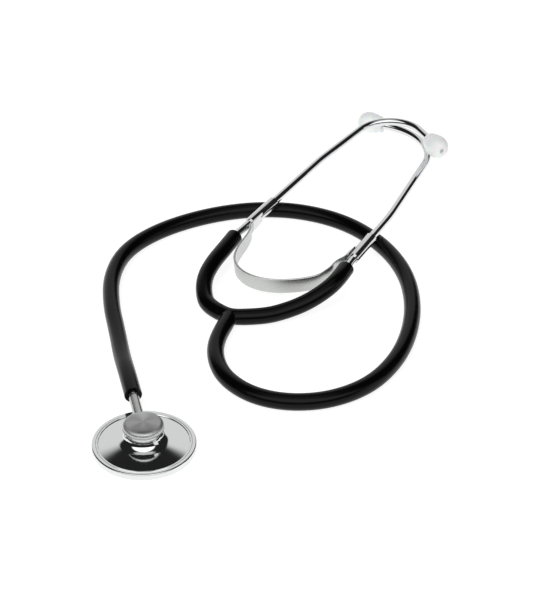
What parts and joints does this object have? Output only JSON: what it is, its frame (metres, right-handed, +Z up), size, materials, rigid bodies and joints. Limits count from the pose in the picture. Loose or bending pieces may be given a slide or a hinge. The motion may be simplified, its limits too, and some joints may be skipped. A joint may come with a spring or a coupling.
{
  "type": "stethoscope",
  "caption": "Single-head stethoscope: turned metal chest piece, forked rubber tubing, leaf spring and crossed ear tubes with plastic ear tips.",
  "frame": {"origin": "centre of the diaphragm's contact face, on the surface that the stethoscope lies on", "axes": "+Z up, out of the chest piece's back; +Y from the chest piece towards the ear tubes; +X to the right"},
  "size_m": [0.1743, 0.3064, 0.0224],
  "materials": {
    "chest_metal": "polished plating",
    "ear_tube_metal": "polished plating",
    "spring_steel": "satin",
    "diaphragm_plastic": "smooth sheet",
    "tubing": "semi-gloss",
    "tip_plastic": "smooth, slightly translucent"
  },
  "bodies": {
    "tubing": {"chest_body": "chest_metal", "chest_stem": "chest_metal", "diaphragm": "diaphragm_plastic", "retaining_ring": "chest_metal", "main_tube": "tubing", "y_junction": "tubing", "left_arm_tube": "tubing", "right_arm_tube": "tubing", "leaf_spring": "spring_steel"},
    "left_binaural": {"left_ear_tube": "ear_tube_metal", "left_spring_sleeve": "spring_steel", "left_tip_ferrule": "ear_tube_metal"},
    "right_binaural": {"right_ear_tube": "ear_tube_metal", "right_spring_sleeve": "spring_steel", "right_tip_ferrule": "ear_tube_metal"},
    "left_tip": {"left_eartip": "tip_plastic"},
    "right_tip": {"right_eartip": "tip_plastic"}
  },
  "joints": [
    {"name": "left_binaural_swing", "type": "hinge", "parent": "tubing", "child": "left_binaural", "pos_m": [0.043, 0.138, 0.009], "axis": [0, 0, 1], "range_deg": [0, 38], "stiffness_Nm_per_rad": 1.2, "deforming": ["left_arm_tube", "leaf_spring"]},
    {"name": "right_binaural_swing", "type": "hinge", "parent": "tubing", "child": "right_binaural", "pos_m": [0.077, 0.121, 0.009], "axis": [0, 0, -1], "range_deg": [0, 38], "stiffness_Nm_per_rad": 1.2, "deforming": ["right_arm_tube", "leaf_spring"]},
    {"name": "left_tip_slide", "type": "slide", "parent": "left_binaural", "child": "left_tip", "axis": [0.4042, -0.9143, 0.025], "range_m": [0, 0.009]},
    {"name": "right_tip_slide", "type": "slide", "parent": "right_binaural", "child": "right_tip", "axis": [-0.9054, 0.4236, -0.0292], "range_m": [0, 0.009]}
  ]
}
